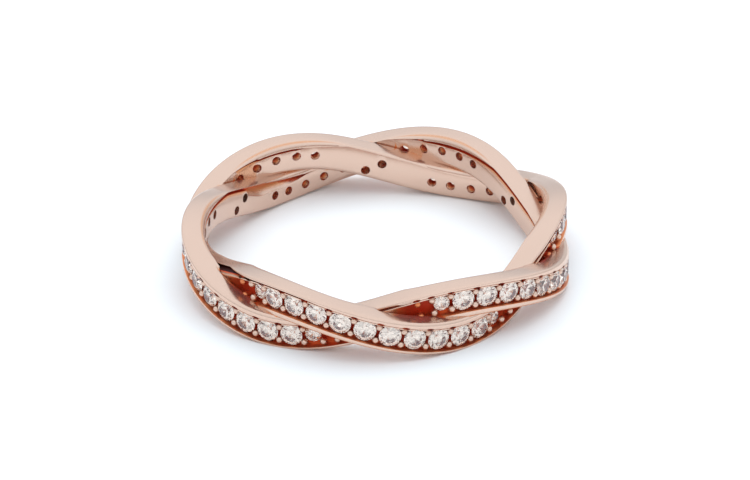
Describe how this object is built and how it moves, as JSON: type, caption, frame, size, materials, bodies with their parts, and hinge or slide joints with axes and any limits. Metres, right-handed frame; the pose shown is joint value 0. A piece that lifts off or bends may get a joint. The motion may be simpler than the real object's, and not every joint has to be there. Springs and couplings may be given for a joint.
{
  "type": "infinity ring",
  "caption": "Finger ring whose strands weave over and under each other, each with a polished rail above a channel of small round stones held by beads.",
  "frame": {"origin": "on the finger hole's axis, at the height of the ring's lowest edges as it lies on its side", "axes": "+Z along the finger hole's axis and up as the ring lies on a table, -Y towards the front of the picture, where one strand's run of stones is outermost, +X to the right of that view"},
  "size_m": [0.0204, 0.0212, 0.0035],
  "materials": {
    "rose_gold": "polished rose-gold plate over silver",
    "clear_stone": "clear cut stone, polished facets"
  },
  "bodies": {
    "root": {"band": "rose_gold", "stone_row_a": "clear_stone", "stone_row_b": "clear_stone"}
  },
  "joints": []
}
